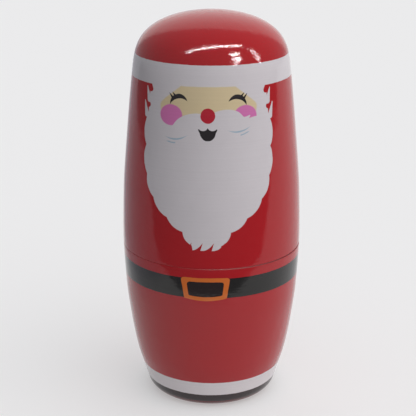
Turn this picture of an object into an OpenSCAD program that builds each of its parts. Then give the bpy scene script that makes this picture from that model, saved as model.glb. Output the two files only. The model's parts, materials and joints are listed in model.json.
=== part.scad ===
// Turned wooden nesting doll: four hollow dolls that open at the waist, one inside the other,
// round a smallest doll of solid wood. The dolls stand on +Z, and the painted fronts face -Y.

/* [Largest doll] */
// Height of the largest doll
doll_height = 120; // [108:1:170]
// Width of the largest doll at its belly
doll_width = 54.8; // [48:0.2:84]
// Height of the largest doll's seam above its foot
seam_height = 48.8; // [42:0.2:56]
// Rounding of the largest doll's foot
foot_round = 3.6; // [1:0.1:5]

/* [Nest] */
// Thickness of each hollow doll's floor
floor_thick = 6.5; // [4:0.1:8]
// Thickness of the wood above each hollow
crown_thick = 11; // [6:0.1:13]
// Thickness of each hollow doll's side at its belly
wall_thick = 3.4; // [2.8:0.1:4.4]
// Room beside each doll in the one outside it
side_gap = 1.1; // [0.6:0.1:1.8]
// Room above each doll's head in the one outside it
head_gap = 2.5; // [1.5:0.1:4]

/* [Fit of the halves] */
// Length of the spigot on the largest doll's lower half
spigot_length = 9; // [5:0.1:12]
// Thickness of each spigot
spigot_thick = 1.7; // [1.2:0.05:2.1]
// Clearance between a spigot and its rabbet, on the radius
fit_gap = 0.08; // [0.04:0.01:0.2]
// Clearance between the end of a spigot and its rabbet
end_gap = 0.5; // [0.2:0.1:1]
// Bevel on the edges of the seam and of the spigot
edge_bevel = 0.25; // [0.1:0.05:0.6]

/* [Hidden] */

// The dolls are numbered from the outside in
outer = 0;
second = 1;
third = 2;
fourth = 3;
smallest = 4;

// A doll's side: [height as a share of its height, radius as a share of its belly's radius]
side_shares = [
    [0.00, 0.705],
    [0.06, 0.780],
    [0.12, 0.858],
    [0.20, 0.922],
    [0.30, 0.975],
    [0.43, 1.000],
    [0.55, 0.986],
    [0.70, 0.934],
    [0.84, 0.874],
    [1.00, 0.790],
];
belly_share = 0.43;
crown_share = 0.85;
crown_power = 3.6;

// Straight steps along each curved stretch of the outline
foot_steps = 5;
lower_steps = 12;
upper_steps = 12;
crown_steps = 12;
$fn = 128;

// Sizes of one doll
shell_step = floor_thick + crown_thick + head_gap;
function height(k) = doll_height - k * shell_step;
function belly_r(k) = doll_width / 2 - k * (wall_thick + side_gap);
function base_z(k) = k * floor_thick;
function size_ratio(k) = height(k) / doll_height;
function seam_z(k) = seam_height * size_ratio(k);
function belly_z(k) = belly_share * height(k);
function edge_round(k) = foot_round * size_ratio(k);
function spigot_top(k) = seam_z(k) + spigot_length * size_ratio(k);

// Side curve through the shares, with no overshoot between them
last = len(side_shares) - 1;
function rise(i) = (side_shares[i + 1][1] - side_shares[i][1]) / (side_shares[i + 1][0] - side_shares[i][0]);
function bend(a, b) = a * b <= 0 ? 0 : 2 * a * b / (a + b);
function tangent(i) = i == 0 ? rise(0) : i == last ? rise(last - 1) : bend(rise(i - 1), rise(i));
function span_at(z, i = 0) = i == last - 1 || z < side_shares[i + 1][0] ? i : span_at(z, i + 1);
function hermite(t, d, a, b, u, v) =
    (2 * t ^ 3 - 3 * t ^ 2 + 1) * a + (t ^ 3 - 2 * t ^ 2 + t) * d * u
    + (3 * t ^ 2 - 2 * t ^ 3) * b + (t ^ 3 - t ^ 2) * d * v;
function side_at(z) =
    let (i = span_at(z), from = side_shares[i], to = side_shares[i + 1], d = to[0] - from[0])
    hermite((z - from[0]) / d, d, from[1], to[1], tangent(i), tangent(i + 1));
function crown_at(z) = z <= crown_share ? 1 : sqrt(max(0, 1 - ((z - crown_share) / (1 - crown_share)) ^ crown_power));

// Radius of doll k's outside at height z above its own foot
function foot_inset(k, z) =
    let (e = edge_round(k))
    z >= e ? 0 : e * (1 - sqrt(1 - (1 - z / e) ^ 2));
function outside_r(k, z) = belly_r(k) * side_at(z / height(k)) * crown_at(z / height(k)) - foot_inset(k, z);

// Heights at which the outline is drawn, each list from low to high
function foot_heights(k) = [for (i = [0 : foot_steps - 1]) edge_round(k) * (1 - cos(90 * i / foot_steps))];
function even_heights(from, to, steps) = [for (i = [0 : steps]) from + (to - from) * i / steps];
function crown_heights(k) =
    [for (i = [1 : crown_steps]) height(k) * (crown_share + (1 - crown_share) * sin(90 * i / crown_steps))];
function lower_heights(k, top) = concat(foot_heights(k), even_heights(edge_round(k), top, lower_steps));
function upper_heights(k, from) =
    concat(even_heights(from, crown_share * height(k), upper_steps), crown_heights(k));

// Outlines as [radius, height above the ground]
function outside_points(k, heights) = [for (z = heights) [outside_r(k, z), base_z(k) + z]];
function reverse(list) = [for (i = [len(list) - 1 : -1 : 0]) list[i]];

// The hollow in doll k is the outline of the doll inside it, with room beside and above it
function mouth_r(k) = belly_r(k + 1) + side_gap;
function cup_points(k) = [
    for (z = lower_heights(k + 1, belly_z(k + 1)))
        if (base_z(k + 1) + z < base_z(k) + spigot_top(k))
            [outside_r(k + 1, z) + side_gap, base_z(k + 1) + z]
];
function head_stretch(k, z) = head_gap * (z - belly_z(k)) / (height(k) - belly_z(k));
function cap_points(k) = [
    for (z = upper_heights(k + 1, belly_z(k + 1)))
        let (cap_z = base_z(k + 1) + z + head_stretch(k + 1, z))
        if (cap_z > base_z(k) + spigot_top(k) + end_gap)
            [outside_r(k + 1, z) + side_gap, cap_z]
];
function cap_r_at(k, z) =
    lookup(z, [for (h = upper_heights(k + 1, belly_z(k + 1)))
        [base_z(k + 1) + h + head_stretch(k + 1, h), outside_r(k + 1, h) + side_gap]]);

// Cup with a foot, and a spigot standing up round its mouth
module lower_half(k) {
    seam = base_z(k) + seam_z(k);
    rim = base_z(k) + spigot_top(k);
    shoulder_r = outside_r(k, seam_z(k));
    spigot_r = mouth_r(k) + spigot_thick;
    outline = concat(
        [[0, base_z(k)]],
        outside_points(k, lower_heights(k, seam_z(k) - edge_bevel)),
        [
            [shoulder_r - edge_bevel, seam],
            [spigot_r, seam],
            [spigot_r, rim - edge_bevel],
            [spigot_r - edge_bevel, rim],
            [mouth_r(k), rim],
        ],
        reverse(cup_points(k)),
        [[0, base_z(k + 1)]]
    );
    rotate_extrude() polygon(outline);
}

// Cap with a rabbet round its mouth, which goes over the spigot and seats on the shoulder
module upper_half(k) {
    seam = base_z(k) + seam_z(k);
    rabbet_top = base_z(k) + spigot_top(k) + end_gap;
    rabbet_r = mouth_r(k) + spigot_thick + fit_gap;
    skirt_r = outside_r(k, seam_z(k));
    outline = concat(
        [[skirt_r - edge_bevel, seam]],
        outside_points(k, upper_heights(k, seam_z(k) + edge_bevel)),
        [[0, base_z(k + 1) + height(k + 1) + head_gap]],
        reverse(cap_points(k)),
        [
            [cap_r_at(k, rabbet_top), rabbet_top],
            [rabbet_r, rabbet_top],
            [rabbet_r, seam + edge_bevel],
            [rabbet_r + edge_bevel, seam],
        ]
    );
    rotate_extrude() polygon(outline);
}

module solid_doll(k) {
    heights = concat(lower_heights(k, belly_z(k)), upper_heights(k, belly_z(k)));
    rotate_extrude() polygon(concat([[0, base_z(k)]], outside_points(k, heights)));
}

module outer_lower_half() { color("firebrick") lower_half(outer); }
module outer_upper_half() { color("firebrick") upper_half(outer); }
module second_lower_half() { color("firebrick") lower_half(second); }
module second_upper_half() { color("firebrick") upper_half(second); }
module third_lower_half() { color("firebrick") lower_half(third); }
module third_upper_half() { color("firebrick") upper_half(third); }
module fourth_lower_half() { color("firebrick") lower_half(fourth); }
module fourth_upper_half() { color("firebrick") upper_half(fourth); }
module smallest_doll() { color("firebrick") solid_doll(smallest); }

outer_lower_half();
outer_upper_half();
second_lower_half();
second_upper_half();
third_lower_half();
third_upper_half();
fourth_lower_half();
fourth_upper_half();
smallest_doll();
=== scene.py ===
import json
import math

import bpy
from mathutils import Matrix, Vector


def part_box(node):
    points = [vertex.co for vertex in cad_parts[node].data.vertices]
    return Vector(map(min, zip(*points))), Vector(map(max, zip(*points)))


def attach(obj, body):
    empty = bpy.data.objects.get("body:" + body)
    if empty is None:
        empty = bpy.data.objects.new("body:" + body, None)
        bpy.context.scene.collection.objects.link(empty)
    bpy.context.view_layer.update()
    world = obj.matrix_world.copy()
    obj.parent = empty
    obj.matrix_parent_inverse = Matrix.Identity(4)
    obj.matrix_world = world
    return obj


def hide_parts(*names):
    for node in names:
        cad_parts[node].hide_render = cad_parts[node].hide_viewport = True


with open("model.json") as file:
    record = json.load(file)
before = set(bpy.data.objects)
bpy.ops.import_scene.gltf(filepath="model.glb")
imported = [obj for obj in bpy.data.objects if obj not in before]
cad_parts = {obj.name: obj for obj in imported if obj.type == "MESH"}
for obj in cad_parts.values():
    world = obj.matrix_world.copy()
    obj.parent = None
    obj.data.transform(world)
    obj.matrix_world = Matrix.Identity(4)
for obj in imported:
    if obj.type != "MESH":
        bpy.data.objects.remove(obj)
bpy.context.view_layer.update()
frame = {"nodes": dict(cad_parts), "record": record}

mm = 0.001
tiny = 1e-9  # points closer than this are one
print("frame loaded:", len(frame["nodes"]), "nodes")


# The nest: five dolls from the outside in, each with its lower and its upper half
dolls = {
    "outer": ("outer_lower_half", "outer_upper_half"),
    "second": ("second_lower_half", "second_upper_half"),
    "third": ("third_lower_half", "third_upper_half"),
    "fourth": ("fourth_lower_half", "fourth_upper_half"),
    "smallest": ("smallest_doll", "smallest_doll"),
}

turning = {
    # (height, radius) of a doll's side, as shares of its height and of its belly's radius
    "sideShares": [
        (0.00, 0.705), (0.06, 0.780), (0.12, 0.858), (0.20, 0.922), (0.30, 0.975),
        (0.43, 1.000), (0.55, 0.986), (0.70, 0.934), (0.84, 0.874), (1.00, 0.790),
    ],
    "bellyShare": 0.43,
    "crownShare": 0.85,
    "crownPower": 3.6,
    "footShare": 0.03,  # rounding of the foot
    "sideGap": 1.1 * mm,  # room beside the doll inside
    "headGap": 2.5 * mm,  # room above its head
    "spigotThick": 1.7 * mm,
    "fitGap": 0.08 * mm,
    "endGap": 0.5 * mm,
    "edgeBevel": 0.10 * mm,
    "edgeEase": 0.05 * mm, "easeMost": 0.45,  # rounding of corners, and its largest share of a side
    "seat": 0.02 * mm,  # a hair's breadth between the halves where they meet
    "step": 0.8 * mm,  # longest step along an outline
    "segments": 160,
}


def smoothSlopes(points):
    rises = [(b[1] - a[1]) / (b[0] - a[0]) for a, b in zip(points, points[1:])]
    inner = [0 if a * b <= 0 else 2 * a * b / (a + b) for a, b in zip(rises, rises[1:])]
    return [rises[0]] + inner + [rises[-1]]


sideSlopes = smoothSlopes(turning["sideShares"])


def sideAt(share):
    points = turning["sideShares"]
    i = 0
    while i < len(points) - 2 and share >= points[i + 1][0]:
        i += 1
    (z0, r0), (z1, r1) = points[i], points[i + 1]
    d = z1 - z0
    t = (share - z0) / d
    start, end = (2 * t - 3) * t * t + 1, (3 - 2 * t) * t * t
    leave, arrive = ((t - 2) * t + 1) * t * d, (t - 1) * t * t * d
    return start * r0 + end * r1 + leave * sideSlopes[i] + arrive * sideSlopes[i + 1]


def crownAt(share):
    if share <= turning["crownShare"]:
        return 1.0
    t = (share - turning["crownShare"]) / (1 - turning["crownShare"])
    return math.sqrt(max(0.0, 1 - t ** turning["crownPower"]))


class Doll:
    # One doll's sizes, read from the boxes of its CAD halves
    def __init__(self, name):
        self.name = name
        self.lower, self.upper = dolls[name]
        low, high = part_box(self.lower)
        self.base = low[2]
        self.spigotTop = high[2]
        low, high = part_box(self.upper)
        self.seam = low[2]
        self.top = high[2]
        self.height = self.top - self.base
        self.belly = (high[0] - low[0]) / 2
        self.bellyZ = self.base + turning["bellyShare"] * self.height
        self.footRound = turning["footShare"] * self.height

    def radius(self, z):
        share = (z - self.base) / self.height
        r = self.belly * sideAt(share) * crownAt(share)
        if z - self.base < self.footRound:
            q = 1 - (z - self.base) / self.footRound
            r -= self.footRound * (1 - math.sqrt(max(0.0, 1 - q * q)))
        return r

    def footHeights(self, count=10):
        return [self.base + self.footRound * (1 - math.cos(math.pi / 2 * i / count)) for i in range(count)]

    def crownHeights(self, count=40):
        start = turning["crownShare"]
        shares = [start + (1 - start) * math.sin(math.pi / 2 * i / count) for i in range(1, count + 1)]
        return [self.base + share * self.height for share in shares]

    def outside(self, low, high):
        # The painted outline from one height to another
        zs = [] if low > self.base + self.footRound else self.footHeights()
        start = max(low, self.base + self.footRound)
        crownZ = self.base + turning["crownShare"] * self.height
        zs += evenly(start, min(high, crownZ), turning["step"])
        if high > crownZ:
            zs += self.crownHeights()
        return [(self.radius(z), z) for z in zs]


def evenly(low, high, step):
    count = max(2, math.ceil((high - low) / step))
    return [low + (high - low) * i / count for i in range(count + 1)]


def straight(a, b):
    # Steps from a to b, both ends kept
    count = max(1, math.ceil(math.dist(a, b) / turning["step"]))
    return [(a[0] + (b[0] - a[0]) * i / count, a[1] + (b[1] - a[1]) * i / count) for i in range(count + 1)]


def eased(before, corner, after, size, steps=4):
    # A corner rounded by a short curve
    def toward(end):
        span = math.dist(corner, end)
        share = min(turning["easeMost"], size / span)
        return (corner[0] + (end[0] - corner[0]) * share, corner[1] + (end[1] - corner[1]) * share)

    a, b = toward(before), toward(after)
    curve = []
    for i in range(steps + 1):
        t = i / steps
        curve.append(tuple((1 - t) ** 2 * a[k] + 2 * t * (1 - t) * corner[k] + t * t * b[k] for k in (0, 1)))
    return curve


def joined(corners, size):
    # Straight stretches with eased corners between them
    path = [corners[0]]
    for before, corner, after in zip(corners, corners[1:], corners[2:]):
        path += eased(before, corner, after, size)
    path.append(corners[-1])
    full = [path[0]]
    for a, b in zip(path, path[1:]):
        if math.dist(a, b) > tiny:
            full += straight(a, b)[1:]
    return full


def lowerOutline(doll, inner):
    # From under the foot up the painted side, over the spigot and down into the cup
    bevel, ease = turning["edgeBevel"], turning["edgeEase"]
    mouth = inner.belly + turning["sideGap"]
    spigot = mouth + turning["spigotThick"]
    side = doll.outside(doll.base, doll.seam - bevel)
    paint = straight((0, doll.base), side[0])[:-1] + side[:-1]
    cupZ = min(inner.bellyZ, doll.spigotTop - bevel)
    cup = [(r + turning["sideGap"], z) for r, z in inner.outside(inner.base, cupZ)]
    shoulder = (doll.radius(doll.seam) - bevel, doll.seam)
    edge = (shoulder[0] - bevel, doll.seam)
    paint += eased(side[-2], side[-1], shoulder, ease) + eased(side[-1], shoulder, edge, ease)
    rim = joined([
        paint[-1],
        (spigot, doll.seam),
        (spigot, doll.spigotTop - bevel),
        (spigot - bevel, doll.spigotTop),
        (mouth, doll.spigotTop),
        cup[-1],
    ], ease)
    wood = rim[1:] + cup[-2::-1] + straight(cup[0], (0, inner.base))[1:]
    return paint, wood


def upperOutline(doll, inner):
    # From the roof of the hollow down to the rabbet, round the seam and up the painted side
    bevel, ease = turning["edgeBevel"], turning["edgeEase"]
    rabbet = inner.belly + turning["sideGap"] + turning["spigotThick"] + turning["fitGap"]
    rabbetTop = doll.spigotTop + turning["endGap"]
    seam = doll.seam + turning["seat"]
    hollow = []
    for r, z in inner.outside(inner.bellyZ, inner.top):
        lift = turning["headGap"] * (z - inner.bellyZ) / (inner.top - inner.bellyZ)
        if z + lift > rabbetTop:
            hollow.append((r + turning["sideGap"], z + lift))
    side = doll.outside(seam + bevel, doll.top)
    roof = (0, inner.top + turning["headGap"])
    skirt = (doll.radius(seam) - bevel, seam)
    edge = (skirt[0] - bevel, seam)
    rim = joined([
        hollow[0],
        (hollow[0][0], rabbetTop),
        (rabbet, rabbetTop),
        (rabbet, seam + bevel),
        (rabbet + bevel, seam),
        edge,
    ], ease)
    wood = straight(roof, hollow[-1])[:-1] + hollow[:0:-1] + rim
    paint = eased(edge, skirt, side[0], ease) + eased(skirt, side[0], side[1], ease) + side[1:]
    return wood, paint


def solidOutline(doll):
    side = doll.outside(doll.base, doll.top)
    return straight((0, doll.base), side[0])[:-1] + side


# The map for baking, in shares of its width
bakeMap = {
    "margin": 0.004,
    "gap": 0.012,  # between paint and bare wood
    "paintRoom": 2.0,  # paint gets twice the room of bare wood
}
bakeRoom = 1 - 2 * bakeMap["margin"]


def turned(name, doll, stretches, materials):
    # Turns an outline about the axis. Each stretch is (points, material number); the last point of one
    # stretch is followed by the first of the next.
    outline = [(r, z, m) for points, m in stretches for r, z in points]
    count = turning["segments"]
    verts, rings = [], []
    for r, z, _ in outline:
        if r < tiny:
            rings.append([len(verts)] * (count + 1))
            verts.append((0, 0, z))
            continue
        first = len(verts)
        for j in range(count):
            a = -math.pi + 2 * math.pi * j / count
            verts.append((r * math.sin(a), -r * math.cos(a), z))
        rings.append([first + j % count for j in range(count + 1)])
    bakeV = bakeRows(outline)
    faces, slots, labelPlaces, bakePlaces = [], [], [], []
    for i in range(len(outline) - 1):
        low, high = rings[i], rings[i + 1]
        lowV, highV = bakeV[i]
        lowY = (outline[i][1] - doll.base) / doll.height
        highY = (outline[i + 1][1] - doll.base) / doll.height
        for j in range(count):
            # Each corner is (point, share of the way round, whether it is on the higher ring)
            left, right = j / count, (j + 1) / count
            corners = [(low[j], left, False), (low[j + 1], right, False),
                       (high[j + 1], right, True), (high[j], left, True)]
            if low[j] == low[j + 1]:
                corners = [(low[j], (left + right) / 2, False)] + corners[2:]
            elif high[j] == high[j + 1]:
                corners = corners[:2] + [(high[j], (left + right) / 2, True)]
            faces.append([corner for corner, _, _ in corners])
            slots.append(outline[i + 1][2])
            for _, u, isHigh in corners:
                labelPlaces.append((u, highY if isHigh else lowY))
                bakePlaces.append((bakeMap["margin"] + bakeRoom * u, highV if isHigh else lowV))
    mesh = bpy.data.meshes.new(name)
    mesh.from_pydata(verts, [], faces)
    for material in materials:
        mesh.materials.append(material)
    mesh.polygons.foreach_set("material_index", slots)
    mesh.polygons.foreach_set("use_smooth", [True] * len(faces))
    for layerName, places in (("label", labelPlaces), ("OFBake", bakePlaces)):
        layer = mesh.uv_layers.new(name=layerName)
        layer.data.foreach_set("uv", [value for place in places for value in place])
    mesh.update()
    piece = bpy.data.objects.new(name, mesh)
    bpy.context.scene.collection.objects.link(piece)
    return piece


def bakeRows(outline):
    # Where each step of the outline lies in the bake's map, from the bottom up
    steps = list(zip(outline, outline[1:]))
    lengths = [math.dist(a[:2], b[:2]) * (bakeMap["paintRoom"] if b[2] == 0 else 1.0) for a, b in steps]
    breaks = sum(1 for a, b in steps if a[2] != b[2])
    scale = (bakeRoom - bakeMap["gap"] * breaks) / sum(lengths)
    rows, v = [], bakeMap["margin"]
    for (a, b), length in zip(steps, lengths):
        if a[2] != b[2]:
            v += bakeMap["gap"]
        rows.append((v, v + length * scale))
        v += length * scale
    return rows


# Shader expressions
class Wire:
    # A socket that adds Math nodes when it is used in an expression
    def __init__(self, tree, socket=None):
        self.tree = tree
        self.socket = socket

    def node(self, kind, settings=None, sockets=None, out=0):
        made = self.tree.nodes.new(kind)
        for name, value in (settings or {}).items():
            if name == "curve":
                setCurve(made.mapping, value)
            else:
                setattr(made, name, value)
        for key, value in (sockets or {}).items():
            if isinstance(value, Wire):
                self.tree.links.new(value.socket, made.inputs[key])
            else:
                made.inputs[key].default_value = value
        return Wire(self.tree, made.outputs[out])

    def maths(self, operation, *values, clamp=False):
        settings = {"operation": operation, "use_clamp": clamp}
        return self.node("ShaderNodeMath", settings, dict(enumerate(values)))

    def __add__(self, other):
        return self.maths("ADD", self, other)

    def __radd__(self, other):
        return self.maths("ADD", other, self)

    def __sub__(self, other):
        return self.maths("SUBTRACT", self, other)

    def __rsub__(self, other):
        return self.maths("SUBTRACT", other, self)

    def __mul__(self, other):
        return self.maths("MULTIPLY", self, other)

    def __rmul__(self, other):
        return self.maths("MULTIPLY", other, self)

    def __truediv__(self, other):
        return self.maths("DIVIDE", self, other)

    def __neg__(self):
        return self.maths("MULTIPLY", self, -1.0)

    def __abs__(self):
        return self.maths("ABSOLUTE", self)

    def least(self, other):
        return self.maths("MINIMUM", self, other)

    def most(self, other):
        return self.maths("MAXIMUM", self, other)

    def remainder(self):
        # What is left of the value above the next lower whole number
        return self.maths("FRACT", self)

    def sine(self):
        return self.maths("SINE", self)

    def cosine(self):
        return self.maths("COSINE", self)

    def mask(self, soft):
        # 1 where the value is above zero, 0 below, with a soft edge
        return self.maths("MULTIPLY_ADD", self, 1 / soft, 0.5, clamp=True)

    def vector(self, operation, other, out=0):
        return self.node("ShaderNodeVectorMath", {"operation": operation}, {0: self, 1: other}, out)

    def scaled(self, amount):
        # A vector or a colour, times a value
        return self.node("ShaderNodeVectorMath", {"operation": "SCALE"}, {0: self, "Scale": amount})

    def length(self):
        return self.node("ShaderNodeVectorMath", {"operation": "LENGTH"}, {0: self}, 1)

    def pair(self, y, z=0.0):
        # A point with this value as its x
        return self.node("ShaderNodeCombineXYZ", {}, {0: self, 1: y, 2: z})

    def part(self, axis):
        return self.node("ShaderNodeSeparateXYZ", {}, {0: self}, axis)

    def plain(self, colour):
        # One colour all over, ready to be painted on
        made = self.node("ShaderNodeRGB")
        made.socket.default_value = colour
        return made

    def over(self, colour, mask):
        # This colour, painted over with another where the mask is 1
        return self.node("ShaderNodeMix", {"data_type": "RGBA"}, {0: mask, 6: self, 7: colour}, 2)


def setCurve(mapping, points):
    curve = mapping.curves[0]
    while len(curve.points) < len(points):
        curve.points.new(0.5, 0.5)
    for point, place in zip(curve.points, points):
        point.location = place
    mapping.update()


def screen(r, g, b):
    # A colour given as it looks on a screen, 0 to 255
    def linear(value):
        share = value / 255
        return share / 12.92 if share <= 0.04045 else ((share + 0.055) / 1.055) ** 2.4

    return (linear(r), linear(g), linear(b), 1.0)


def newMaterial(name):
    material = bpy.data.materials.new(name)
    material.use_nodes = True
    tree = material.node_tree
    shader = next(n for n in tree.nodes if n.type == "BSDF_PRINCIPLED")
    return material, Wire(tree), shader


def noise(place, scale, detail=2.0, rough=0.5, out=0):
    facts = {"Vector": place, "Scale": scale, "Detail": detail, "Roughness": rough}
    return place.node("ShaderNodeTexNoise", {}, facts, out)


def feed(shader, socket, wire):
    wire.tree.links.new(wire.socket, shader.inputs[socket])


# Paint, in millimetres on the largest doll: x round the side from the middle of the front, y up
label = {
    "height": 120.0,
    "radius": 25.2,  # radius at which angles become widths
    "edge": 0.10,  # softness of a painted edge
    "wobble": 0.22, "wobbleNoise": (0.45, 3.0, 0.6),  # unsteady edges: how far, and scale, detail, roughness
    "ringRadius": 25.0,  # noise runs round the doll on this ring
    "bandLow": 101.7, "bandTop": 108.1,
    "beltLow": 39.6, "beltTop": 45.85,
    "footLine": 2.3, "footLineEdge": 0.3, "hemLow": 4.9, "hemTop": 9.7,
    # The dark line along the seam is painted shade in the groove between the halves; the lacquer there is
    # also duller
    "seam": 48.8, "seamShadeReach": 0.14, "seamDull": 0.2, "seamEdge": 0.3,
    "seamShadeLeast": 0.12, "seamSide": math.radians(80.0),  # least share of the painted shade in the seam, and where there is most
    # (height, half width) of the beard inside its bulges
    "beard": [
        (50.0, 4.0), (56.2, 4.0), (60.0, 5.9), (63.8, 10.4), (69.0, 15.1), (75.5, 18.0), (84.0, 19.0),
        (92.0, 19.4), (98.0, 19.3), (102.0, 18.9), (106.0, 18.7),
    ],
    # notches at the beard's edge, with a round bulge between each two
    "notches": [
        (4.2, 56.2), (6.6, 60.0), (11.2, 63.8), (15.8, 69.0), (18.6, 75.5), (19.6, 84.0), (19.9, 92.2),
    ],
    "bulgeShare": 0.13,  # how far a bulge stands out, as a share of its length
    "lockLow": 54.6, "lockRise": 2.4, "lockPitch": 3.0, "lockLean": 0.25, "lockFrom": -1.6,
    # curls at the beard's upper corners: where a bulb of coat cuts in, and where a tuft stands beside it
    "curlCuts": [((18.8, 100.3), (19.3, 102.6)), ((19.5, 95.7), (20.9, 97.6))],
    "curlTufts": [((19.4, 97.2), (20.6, 100.8)), ((20.1, 92.8), (21.3, 96.6))],
    "curlCutThick": 1.35, "curlTuftThick": 1.5,
}

# Places on the face are given for the right side and mirrored to the left
face = {
    "shift": 0.25,  # the face sits a little to the right of the beard's middle
    "skinTop": 102.2,
    "skinSlope": (8.3, 102.2, 0.6, 0.8),  # a point on the slanting edge, and the way it looks
    "skinOval": (0.0, 96.4, 15.0, 7.5), "skinEase": 0.9, "skinLow": 92.5,
    "skinEdge": 0.3, "cheekEdge": 0.25, "strokeEdge": 0.2,  # softer edges than the rest
    "slope": 0.125,  # how much the moustache and what is under it rise to the right
    "moustache": (4.4, 90.9, 6.3, 4.3),
    "moustacheTip": ((10.0, 90.6), (12.5, 92.1)), "moustacheTipThick": 2.0, "moustacheEase": 1.2,
    "cheek": (11.2, 93.8, 3.65, 3.0), "cheekLow": 91.5,
    "nose": (0.0, 94.05, 2.15),
    "eyeOuter": (8.79, 97.1, 2.85), "eyeInner": (8.26, 94.82, 3.86),
    "lashes": [((10.7, 98.6), (11.9, 100.0)), ((9.9, 99.2), (10.9, 100.3))],
    "lashThick": 0.72,
    # (height, half width) of the mouth
    "mouth": [
        (86.9, 0.0), (87.05, 0.85), (87.5, 1.5), (88.3, 2.05), (89.2, 2.35), (89.85, 2.65), (90.2, 2.75),
        (90.4, 1.4), (90.8, 0.6),
    ],
    "mouthNotch": (1.4, 91.35, 1.55), "mouthTop": 90.75,
    "stroke": (9.3, 93.7, 5.7), "strokeInner": (9.3, 97.4, 9.0),
    "lowStroke": (9.3, 93.7, 6.55), "lowStrokeThick": 0.28, "lowStrokeFrom": 9.5, "lowStrokeTop": 87.7,
}

buckle = {
    "frame": (12.65, 7.35, 1.0),  # width, height, corner
    "hole": (9.85, 4.8, 0.9),
    "narrow": 0.022,  # how much narrower it is at the bottom
    "bow": 27.0,  # radius of its bottom edge
    "shift": -0.35,  # the lower half stands turned a little to the left
    "drop": 0.35,  # its middle below the belt's
}

paintColours = {
    "coat": screen(180, 16, 26),
    "white": screen(222, 216, 220),
    # the hem is the same white paint as the beard, given a lighter colour here: painted light
    "hem": screen(234, 226, 229),
    "skin": screen(226, 206, 166),
    "cheek": screen(220, 124, 184),
    "nose": screen(190, 30, 50),
    "ink": screen(40, 35, 38),
    "stroke": screen(160, 186, 204),
    "belt": screen(29, 27, 25),
    "buckle": screen(222, 114, 44),
    "hole": screen(38, 24, 24),
    "foot": screen(56, 44, 46),
    "footLine": screen(104, 22, 30),
    # painted shade for the groove at the seam
    "seamShade": screen(96, 14, 20),
}


lacquer = {
    "rough": 0.05, "roughCloud": 0.06, "roughSeam": 0.5,
    "shade": 0.94, "shadeLines": 0.06, "shadeCloud": 0.06,  # slight unevenness of the colour
    "lineNoise": (1.7, 4.0), "cloudNoise": (0.16, 3.0), "rippleNoise": (0.30, 2.0),  # scale and detail
    "brushScale": (1.2, 1.2, 2.3), "brushDetail": 1.0,  # strokes run round the doll
    # heights in millimetres
    "lineHigh": 0.006, "rippleHigh": 0.05, "brushHigh": 0.009, "whiteHigh": 0.004,
    "crownBrushHigh": 0.036, "crownEdge": 1.0,  # more of the brush shows on the crown
    "ior": 1.5,
}


def disc(point, x, y, r):
    # How far inside a circle the point is
    return r - point.vector("DISTANCE", (x, y, 0.0), 1)


def bulge(low, high):
    # The circle through two notches of the beard that stands out between them
    chord = math.dist(low, high)
    out = label["bulgeShare"] * chord
    r = (chord * chord / 4 + out * out) / (2 * out)
    wayX, wayY = (high[1] - low[1]) / chord, (low[0] - high[0]) / chord
    return (low[0] + high[0]) / 2 - wayX * (r - out), (low[1] + high[1]) / 2 - wayY * (r - out), r


def oval(point, x, y, wide, high):
    # How far inside an oval the point is, roughly
    place = point.vector("SUBTRACT", (x, y, 0.0)).vector("DIVIDE", (wide, high, 1.0))
    return (1.0 - place.length()) * min(wide, high)


def rounded(point, x, y, wide, high, corner):
    # How far inside a rectangle with round corners the point is
    place = point.vector("SUBTRACT", (x, y, 0.0))
    place = place.node("ShaderNodeVectorMath", {"operation": "ABSOLUTE"}, {0: place})
    place = place.vector("SUBTRACT", (wide / 2 - corner, high / 2 - corner, 0.0)).vector("MAXIMUM", (0, 0, 0))
    return corner - place.length()


def dab(point, start, end, thick, taper=1.2):
    # How far inside a short dab of the brush the point is; the dab thins towards its end
    run = (end[0] - start[0], end[1] - start[1], 0.0)
    square = run[0] ** 2 + run[1] ** 2
    place = point.vector("SUBTRACT", (start[0], start[1], 0.0))
    along = place.maths("DIVIDE", place.vector("DOT_PRODUCT", run, 1), square, clamp=True)
    nearest = (along * run[0]).pair(along * run[1])
    return thick / 2 * (taper - along) - place.vector("DISTANCE", nearest, 1)


def halfWidth(y, rows):
    # Half width at a height, on a smooth curve through (height, half width) rows
    low, span = rows[0][0], rows[-1][0] - rows[0][0]
    most = max(width for _, width in rows)
    curve = [((height - low) / span, width / most) for height, width in rows]
    return y.node("ShaderNodeFloatCurve", {"curve": curve}, {1: (y - low) / span}) * most


def beardArea(x, y):
    # Bulges down the sides, curls at the upper corners and hooked locks at the bottom
    beard = halfWidth(y, label["beard"]) - abs(x)
    mirrored = abs(x).pair(y)
    for low, high in zip(label["notches"], label["notches"][1:]):
        beard = beard.most(disc(mirrored, *bulge(low, high)))
    for start, end in label["curlCuts"]:
        beard = beard.least(-dab(mirrored, start, end, label["curlCutThick"]))
    for start, end in label["curlTufts"]:
        beard = beard.most(dab(mirrored, start, end, label["curlTuftThick"]))
    rise = y - label["lockLow"]
    lock = ((x - rise * label["lockLean"] - label["lockFrom"]) / label["lockPitch"]).remainder()
    return beard.least(rise - lock * lock * lock * label["lockRise"]).least(label["bandTop"] - y)


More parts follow.
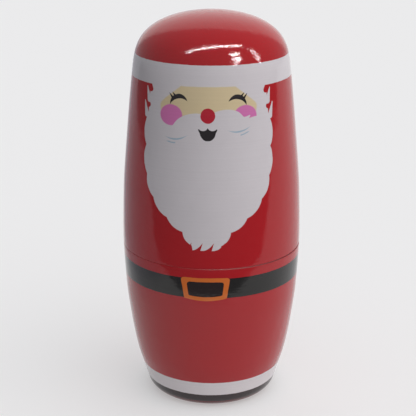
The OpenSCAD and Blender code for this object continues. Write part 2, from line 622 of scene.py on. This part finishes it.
def paintFace(colour, x, y):
    x = x - face["shift"]
    aside = abs(x)
    mirrored = aside.pair(y)
    edgeX, edgeY, lookX, lookY = face["skinSlope"]
    slant = (edgeX * lookX + edgeY * lookY) - (aside * lookX + y * lookY)
    skin = slant.maths("SMOOTH_MIN", oval(mirrored, *face["skinOval"]), slant, face["skinEase"])
    skin = skin.least(face["skinTop"] - y).least(y - face["skinLow"])
    cheek = oval(mirrored, *face["cheek"])
    nose = disc(x.pair(y), *face["nose"])
    eye = disc(mirrored, *face["eyeOuter"]).least(-disc(mirrored, *face["eyeInner"]))
    for start, end in face["lashes"]:
        eye = eye.most(dab(mirrored, start, end, face["lashThick"]))
    mouth = (halfWidth(y, face["mouth"]) - aside).least(face["mouthTop"] - y).least(y - face["mouth"][0][0])
    mouth = mouth.least(-disc(mirrored, *face["mouthNotch"]))

    # The moustache, the strokes under it and the lower edge of the cheeks
    sloped = y - x * face["slope"]
    mirrored = aside.pair(sloped)
    skin = skin.least(sloped - face["cheekLow"])
    cheek = cheek.least(sloped - face["cheekLow"])
    moustache = oval(mirrored, *face["moustache"])
    tip = dab(mirrored, *face["moustacheTip"], face["moustacheTipThick"])
    moustache = moustache.maths("SMOOTH_MAX", moustache, tip, face["moustacheEase"])
    stroke = disc(mirrored, *face["stroke"]).least(-disc(mirrored, *face["strokeInner"]))
    lowStroke = face["lowStrokeThick"] / 2 - abs(disc(mirrored, *face["lowStroke"]))
    lowStroke = lowStroke.least(face["lowStrokeTop"] - sloped).least(aside - face["lowStrokeFrom"])

    soft = label["edge"]
    colour = colour.over(paintColours["skin"], skin.mask(face["skinEdge"]))
    colour = colour.over(paintColours["cheek"], cheek.mask(face["cheekEdge"]))
    colour = colour.over(paintColours["white"], moustache.mask(soft))
    colour = colour.over(paintColours["stroke"], stroke.most(lowStroke).mask(face["strokeEdge"]))
    colour = colour.over(paintColours["nose"], nose.mask(soft))
    return colour.over(paintColours["ink"], eye.most(mouth).mask(soft))


def paintBelt(colour, x, y):
    soft = label["edge"]
    belt = (y - label["beltLow"]).least(label["beltTop"] - y)
    middle = (label["beltLow"] + label["beltTop"]) / 2 - buckle["drop"]
    leaned = ((x - buckle["shift"]) * (1.0 - (y - middle) * buckle["narrow"])).pair(y)

    def bowed(wide, high, corner):
        shape = rounded(leaned, 0.0, middle, wide, high, corner)
        return shape.least(disc(leaned, 0.0, middle - high / 2 + buckle["bow"], buckle["bow"]))

    colour = colour.over(paintColours["belt"], belt.mask(soft))
    colour = colour.over(paintColours["buckle"], bowed(*buckle["frame"]).mask(soft))
    return colour.over(paintColours["hole"], bowed(*buckle["hole"]).mask(soft))


def paintMaterial():
    material, tools, shader = newMaterial("lacqueredPaint")
    place = tools.node("ShaderNodeUVMap", {"uv_map": "label"})
    angle = (place.part(0) - 0.5) * (2 * math.pi)
    y = place.part(1) * label["height"]
    ring = (angle.sine() * label["ringRadius"]).pair(angle.cosine() * label["ringRadius"], y)
    shake = noise(ring, *label["wobbleNoise"], out=1)
    shake = shake.vector("SUBTRACT", (0.5, 0.5, 0.5)).scaled(label["wobble"])
    point = (angle * label["radius"]).pair(y).vector("ADD", shake)
    x, y = point.part(0), point.part(1)

    # Coat, hat band, beard and hem, then the face, the belt and the foot
    soft = label["edge"]
    band = (y - label["bandLow"]).least(label["bandTop"] - y)
    white = band.most(beardArea(x, y)).mask(soft)
    hem = (y - label["hemLow"]).least(label["hemTop"] - y).mask(soft)
    colour = tools.plain(paintColours["coat"])
    colour = colour.over(paintColours["white"], white)
    # The hem's lighter white is painted light on the same paint as the beard
    colour = colour.over(paintColours["hem"], hem)
    colour = paintFace(colour, x, y)
    colour = paintBelt(colour, x, y)
    colour = colour.over(paintColours["foot"], (label["hemLow"] - y).mask(soft))
    colour = colour.over(paintColours["footLine"], (label["footLine"] - y).mask(label["footLineEdge"]))
    # Painted shade along the seam's groove, darkest round the right side; the same share dulls the lacquer
    # there
    seam = label["seamShadeReach"] - abs(y - label["seam"])
    seamShadeAndDull = (angle - label["seamSide"]).cosine().most(0.0) * (1.0 - label["seamShadeLeast"]) + label["seamShadeLeast"]
    colour = colour.over(paintColours["seamShade"], seam.mask(label["seamEdge"]) * seamShadeAndDull)

    # Fine lines left by turning, brush strokes and slow changes in the lacquer
    lineScale, lineDetail = lacquer["lineNoise"]
    lineFacts = {"W": y, "Scale": lineScale, "Detail": lineDetail}
    lines = y.node("ShaderNodeTexNoise", {"noise_dimensions": "1D"}, lineFacts)
    cloud = noise(ring, *lacquer["cloudNoise"])
    ripple = noise(ring, *lacquer["rippleNoise"])
    brush = noise(ring.vector("MULTIPLY", lacquer["brushScale"]), 1.0, lacquer["brushDetail"])
    shade = lacquer["shade"] + lacquer["shadeLines"] * lines + lacquer["shadeCloud"] * cloud
    feed(shader, "Base Color", colour.scaled(shade))
    dull = (seam + label["seamDull"]).mask(label["seamEdge"]) * seamShadeAndDull
    feed(shader, "Roughness", lacquer["rough"] + lacquer["roughCloud"] * cloud + lacquer["roughSeam"] * dull)
    crown = (y - label["bandTop"]).mask(lacquer["crownEdge"])
    brush = brush * (lacquer["brushHigh"] + crown * (lacquer["crownBrushHigh"] - lacquer["brushHigh"]))
    height = lines * lacquer["lineHigh"] + ripple * lacquer["rippleHigh"]
    height = height + brush + white.most(hem) * lacquer["whiteHigh"]
    feed(shader, "Normal", height.node("ShaderNodeBump", {}, {"Distance": mm, "Height": height}))
    shader.inputs["IOR"].default_value = lacquer["ior"]
    return material


bareWood = {
    "light": screen(226, 192, 146),
    "dark": screen(188, 142, 94),
    "pith": (0.012, 0.02, 0.0),  # the billet's heart, off the turning axis
    "ringPitch": 2.4 * mm, "ringShare": 0.45,
    "bend": 4.0 * mm, "bendScale": 35.0,  # how far the rings wander
    "fibreNoise": (1800.0, 3.0), "fibreShare": 0.55,  # scale and detail of the fibres
    "along": 0.05,  # grain is stretched along the axis
    "rough": 0.55, "roughFibre": 0.2,
    "cutPitch": 0.45 * mm,  # tool marks
    "cutHigh": 0.004, "fibreHigh": 0.02, "bump": 0.7,  # heights in millimetres, and how strongly they show
}


def woodMaterial():
    material, tools, shader = newMaterial("bareWood")
    place = tools.node("ShaderNodeTexCoord", {}, {}, 3)
    stretched = (1.0, 1.0, bareWood["along"])
    bend = noise(place, bareWood["bendScale"], out=1)
    bend = bend.vector("SUBTRACT", (0.5, 0.5, 0.5)).scaled(bareWood["bend"])
    reach = place.vector("ADD", bend).vector("MULTIPLY", stretched).vector("DISTANCE", bareWood["pith"], 1)
    rings = (reach * (2 * math.pi / bareWood["ringPitch"])).sine() * 0.5 + 0.5
    fibre = noise(place.vector("MULTIPLY", stretched), *bareWood["fibreNoise"])
    shade = rings * rings * bareWood["ringShare"] + fibre * bareWood["fibreShare"]
    feed(shader, "Base Color", tools.plain(bareWood["light"]).over(bareWood["dark"], shade))
    feed(shader, "Roughness", bareWood["rough"] + bareWood["roughFibre"] * fibre)
    across = place.vector("MULTIPLY", (1.0, 1.0, 0.0)).length()
    cuts = ((place.part(2) + across) * (2 * math.pi / bareWood["cutPitch"])).sine()
    height = cuts * bareWood["cutHigh"] + fibre * bareWood["fibreHigh"]
    bumpFacts = {"Strength": bareWood["bump"], "Distance": mm, "Height": height}
    feed(shader, "Normal", height.node("ShaderNodeBump", {}, bumpFacts))
    return material


finishes = [paintMaterial(), woodMaterial()]
print("materials made:", len(finishes))

# Pieces
bodies = {node: body for body, nodes in frame["record"]["behaviour"]["bodies"].items() for node in nodes}
nest = [Doll(name) for name in dolls]


def dress(piece, node):
    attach(piece, bodies[node])
    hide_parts(node)


for doll, inner in zip(nest, nest[1:]):
    lowPaint, lowWood = lowerOutline(doll, inner)
    dress(turned(doll.name + "LowerHalf", doll, [(lowPaint, 0), (lowWood, 1)], finishes), doll.lower)
    highWood, highPaint = upperOutline(doll, inner)
    dress(turned(doll.name + "UpperHalf", doll, [(highWood, 1), (highPaint, 0)], finishes), doll.upper)
last = nest[-1]
dress(turned("smallestDoll", last, [(solidOutline(last), 0)], finishes[:1]), last.lower)
print("dolls turned:", len(nest))

# Floor, light and camera
studio = {
    "floor": (0.57, 0.57, 0.57, 1.0),
    "glow": (0.355, 0.355, 0.355, 1.0),  # the floor is lit from below too, so that shadows on it stay light
    "bounce": (0.17, 0.17, 0.17, 1.0),  # what the dolls get back of the light that falls on the floor
    "floorWide": 8.0,
    "cardLift": 0.5 * mm,
    "shade": screen(148, 148, 152),
    # near edge of a dark card in front and at both sides, for the gloss alone
    "shadeEdge": [
        (-4.0, 2.6), (-0.62, 0.42), (-0.53, 0.22), (-0.53, 0.06), (-0.45, -0.05), (-0.35, -0.061),
        (-0.11, -0.076), (0.0, -0.098), (0.11, -0.076),
        (0.35, -0.061), (0.6, -0.04), (0.7, 0.02), (0.8, 0.2), (4.0, 1.7),
    ],
    "sideEdge": -0.10, "sideSoft": 0.03,  # left of here the floor gives the dolls less light
    "sideGloss": (0.083, 0.08, 0.12, 1.0),
    "ambient": 0.05,
    "top": 0.78,
    "key": 1.20, "keyAzimuth": 63.5, "keyElevation": 28.0,
    "back": 0.6, "backLook": (0.0, 0.92, 0.39), "backEdge": 0.795, "backSoft": 0.05,
    "glossSky": 0.46,  # the room and the back wall as the lacquer shows them
    "glossBack": 0.50,
    "paper": 0.83,  # the room as it looks past the floor's edge
    "cool": (0.95, 0.98, 1.02, 1.0),
    "warm": (1.0, 0.97, 0.965, 1.0),
}


def flatSheet(name, corners, z):
    mesh = bpy.data.meshes.new(name)
    mesh.from_pydata([(x, y, z) for x, y in corners], [], [range(len(corners))])
    sheet = bpy.data.objects.new(name, mesh)
    bpy.context.scene.collection.objects.link(sheet)
    return sheet


def addFloor():
    half = studio["floorWide"] / 2
    floor = flatSheet("floor", [(-half, -half), (half, -half), (half, half), (-half, half)], 0.0)
    material, tools, shader = newMaterial("paperFloor")
    bounced = tools.node("ShaderNodeLightPath", {}, {}, "Is Diffuse Ray")
    shine = tools.node("ShaderNodeLightPath", {}, {}, "Is Glossy Ray")
    place = tools.node("ShaderNodeTexCoord", {}, {}, 3)
    left = (studio["sideEdge"] - place.part(0)).mask(studio["sideSoft"])
    lit = 1.0 - left * bounced
    feed(shader, "Base Color", tools.plain(studio["floor"]).over(studio["bounce"], bounced).scaled(lit))
    glow = tools.plain(studio["glow"]).scaled(lit).over(studio["sideGloss"], left * shine)
    feed(shader, "Emission Color", glow)
    shader.inputs["Specular IOR Level"].default_value = 0.0
    shader.inputs["Emission Strength"].default_value = 1.0
    floor.data.materials.append(material)


def addCard():
    # A dark card just above the floor that only the dolls' gloss sees
    half = studio["floorWide"] / 2
    corners = [(half, -half), *reversed(studio["shadeEdge"]), (-half, -half)]
    card = flatSheet("darkCard", corners, studio["cardLift"])
    material, _, shader = newMaterial("darkCard")
    shader.inputs["Base Color"].default_value = studio["shade"]
    shader.inputs["Specular IOR Level"].default_value = 0.0
    card.data.materials.append(material)
    card.visible_camera = False
    card.visible_diffuse = False
    card.visible_shadow = False


# name: (position, aim, width, height, watts); they only give the lacquer something to reflect
lamps = {
    "ceilingTube": ((-0.044, -0.357, 0.81), (-0.155, -0.078, 0.11), 1.12, 0.022, 7.5),
    "sideTube": ((0.69, -0.15, 0.46), (0.0, -0.01, 0.11), 0.018, 0.42, 1.1),
    "upperBulb": ((0.44, -0.465, 0.62), (0.0, 0.0, 0.11), 0.14, 0.034, 1.4),
    "middleBulb": ((0.489, -0.533, 0.48), (0.0, 0.0, 0.11), 0.15, 0.044, 2.0),
    "lowerBulb": ((0.495, -0.592, 0.37), (0.0, 0.0, 0.11), 0.14, 0.02, 0.6),
}


def addLamp(name, place, aim, width, height, watts):
    data = bpy.data.lights.new(name, "AREA")
    data.shape = "RECTANGLE"
    data.size = width
    data.size_y = height
    data.energy = watts
    lamp = bpy.data.objects.new(name, data)
    lamp.location = place
    lamp.rotation_euler = (Vector(aim) - Vector(place)).to_track_quat("-Z", "Y").to_euler()
    lamp.visible_camera = False
    lamp.visible_diffuse = False
    bpy.context.scene.collection.objects.link(lamp)


def addWorld():
    # A dim room with a broad soft key at the right and a bright wall behind
    world = bpy.data.worlds.new("studio")
    world.use_nodes = True
    tools = Wire(world.node_tree)
    look = tools.node("ShaderNodeTexCoord", {}, {}, 0)
    azimuth, elevation = math.radians(studio["keyAzimuth"]), math.radians(studio["keyElevation"])
    level = math.cos(elevation)
    toKey = (math.sin(azimuth) * level, -math.cos(azimuth) * level, math.sin(elevation))
    key = look.vector("DOT_PRODUCT", toKey, 1).most(0.0)
    key = key * key
    back = (look.vector("DOT_PRODUCT", studio["backLook"], 1) - studio["backEdge"]).mask(studio["backSoft"])
    top = look.part(2).most(0.0)
    light = studio["ambient"] + key * studio["key"] + back * studio["back"] + top * top * studio["top"]
    gloss = studio["glossSky"] + back * studio["glossBack"]
    shine = tools.node("ShaderNodeLightPath", {}, {}, "Is Glossy Ray")
    seen = tools.node("ShaderNodeLightPath", {}, {}, "Is Camera Ray")
    strength = light * (1.0 - shine - seen) + gloss * shine + studio["paper"] * seen
    tint = tools.plain(studio["cool"]).over(studio["warm"], key.most(back))
    shader = next(n for n in world.node_tree.nodes if n.type == "BACKGROUND")
    feed(shader, "Strength", strength)
    feed(shader, "Color", tint)
    bpy.context.scene.world = world


photoView = {
    "distance": 2.949, "height": 1.456,  # of the camera from the axis and the floor, in doll heights
    "pitch": 18.14,  # degrees downwards
    "turn": 3.0,  # the painted front looks a little to the viewer's left
    "focal": 1200.0,  # in pixels of a 416 pixel frame
    "frame": 416.0,
    "axisX": 211.6,  # where the turning axis lies in the frame
    "sensor": 36.0, "nearest": 0.01,
}


def addCamera():
    size = nest[0].height
    turn = math.radians(photoView["turn"])
    reach = photoView["distance"] * size
    data = bpy.data.cameras.new("camera")
    data.sensor_width = photoView["sensor"]
    data.lens = data.sensor_width * photoView["focal"] / photoView["frame"]
    data.clip_start = photoView["nearest"]
    camera = bpy.data.objects.new("camera", data)
    camera.location = (reach * math.sin(turn), -reach * math.cos(turn), photoView["height"] * size)
    yaw = turn + math.atan((photoView["axisX"] - photoView["frame"] / 2) / photoView["focal"])
    camera.rotation_euler = (math.pi / 2 - math.radians(photoView["pitch"]), 0.0, yaw)
    bpy.context.scene.collection.objects.link(camera)
    bpy.context.scene.camera = camera


addFloor()
addCard()
for lampName, lampFacts in lamps.items():
    addLamp(lampName, *lampFacts)
addWorld()
addCamera()
bpy.context.scene.view_settings.view_transform = "Standard"
print("studio made")
